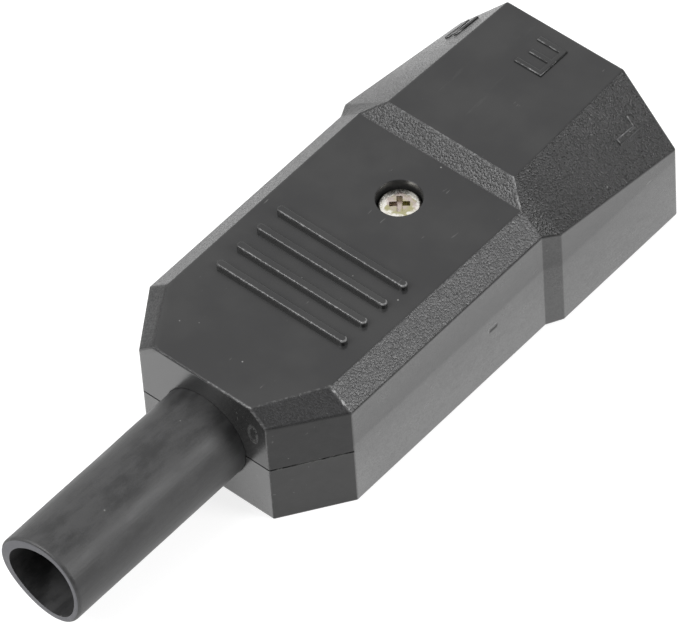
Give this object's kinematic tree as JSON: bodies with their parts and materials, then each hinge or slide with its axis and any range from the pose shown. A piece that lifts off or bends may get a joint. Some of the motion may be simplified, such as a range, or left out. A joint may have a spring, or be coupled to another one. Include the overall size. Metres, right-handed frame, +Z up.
{
  "type": "rewirable iec plug connector",
  "caption": "Black moulded plug connector with a shrouded flat-pin front, bevelled split casing, grip ribs, recessed cover screw and soft rear cable sleeve.",
  "frame": {"origin": "middle of the box on the surface that the plug lies on", "axes": "+Y towards the open front of the shroud, +Z up out of the face with the grip ribs and the screw"},
  "size_m": [0.0318, 0.0896, 0.0195],
  "materials": {
    "casing": "satin moulded black",
    "sleeve": "matte black",
    "clamp": "matte black",
    "plated_pin": "bright nickel plated",
    "cover_screw": "bright zinc plated",
    "steel": "zinc plated"
  },
  "bodies": {
    "root": {"upper_shell": "casing", "lower_shell": "casing", "cable_sleeve": "sleeve", "cord_clamp": "clamp", "live_pin": "plated_pin", "neutral_pin": "plated_pin", "earth_pin": "plated_pin", "cover_screw": "cover_screw", "cover_nut": "steel", "live_terminal_screw": "steel", "neutral_terminal_screw": "steel", "earth_terminal_screw": "steel", "clamp_screw_left": "steel", "clamp_screw_right": "steel"}
  },
  "joints": []
}
